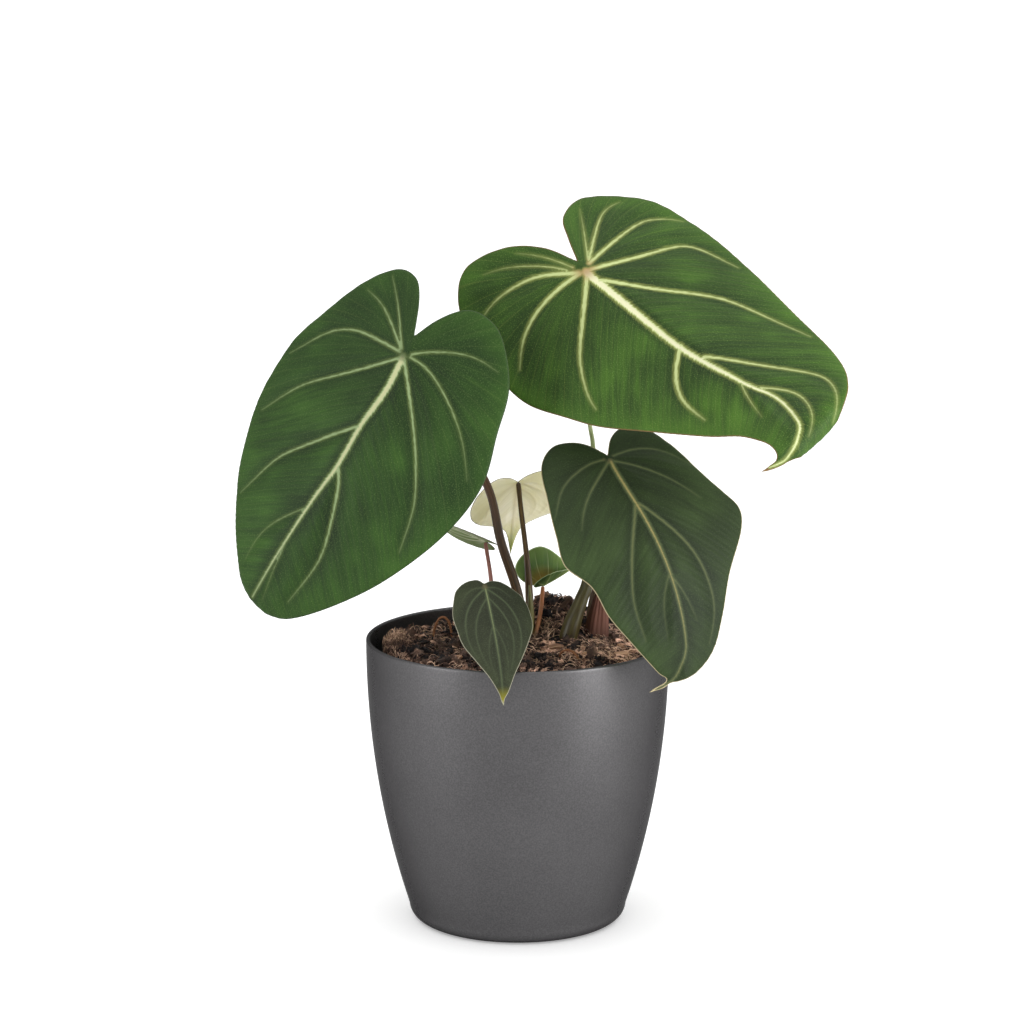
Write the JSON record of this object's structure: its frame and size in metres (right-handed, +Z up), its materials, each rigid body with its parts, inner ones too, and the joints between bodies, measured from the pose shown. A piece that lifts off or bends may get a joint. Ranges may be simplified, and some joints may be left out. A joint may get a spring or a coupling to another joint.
{
  "type": "potted philodendron",
  "caption": "Velvety heart-leaved philodendron in a round tapered grey cover pot, with large drooping blades on long petioles.",
  "frame": {"origin": "centre of the cover pot's flat base, on the surface it stands on", "axes": "+Z up, -Y towards the side that the plant's large leaves face, +X to that side's right"},
  "size_m": [0.3481, 0.2318, 0.4269],
  "materials": {
    "pot_plastic": "satin moulded plastic",
    "nursery_plastic": "thin dull plastic",
    "coir_mix": "loose fibrous potting mix",
    "velvet_leaf": "velvety leaf with pale veins",
    "small_leaf": "dull dark leaf with pale veins",
    "brown_petiole": "smooth stalk",
    "olive_petiole": "smooth thick stalk",
    "shoot": "tender new growth",
    "papery_sheath": "dry and papery",
    "husk": "split coconut husk",
    "root": "thin dry root"
  },
  "bodies": {
    "root": {"cover_pot": "pot_plastic", "nursery_pot": "nursery_plastic", "potting_mix": "coir_mix", "leaf_top": "velvet_leaf", "leaf_left": "velvet_leaf", "leaf_right": "velvet_leaf", "leaf_front": "small_leaf", "leaf_back": "small_leaf", "leaf_side": "small_leaf", "leaf_young": "small_leaf", "petiole_top": "olive_petiole", "petiole_left": "brown_petiole", "petiole_right": "brown_petiole", "petiole_front": "brown_petiole", "petiole_back": "brown_petiole", "petiole_side": "brown_petiole", "petiole_young": "brown_petiole", "new_leaf_spear": "shoot", "cataphyll": "papery_sheath", "husk_chip_1": "husk", "husk_chip_2": "husk", "husk_chip_3": "husk", "husk_chip_4": "husk", "husk_chip_5": "husk", "husk_chip_6": "husk", "surface_root_1": "root", "surface_root_2": "root"}
  },
  "joints": []
}
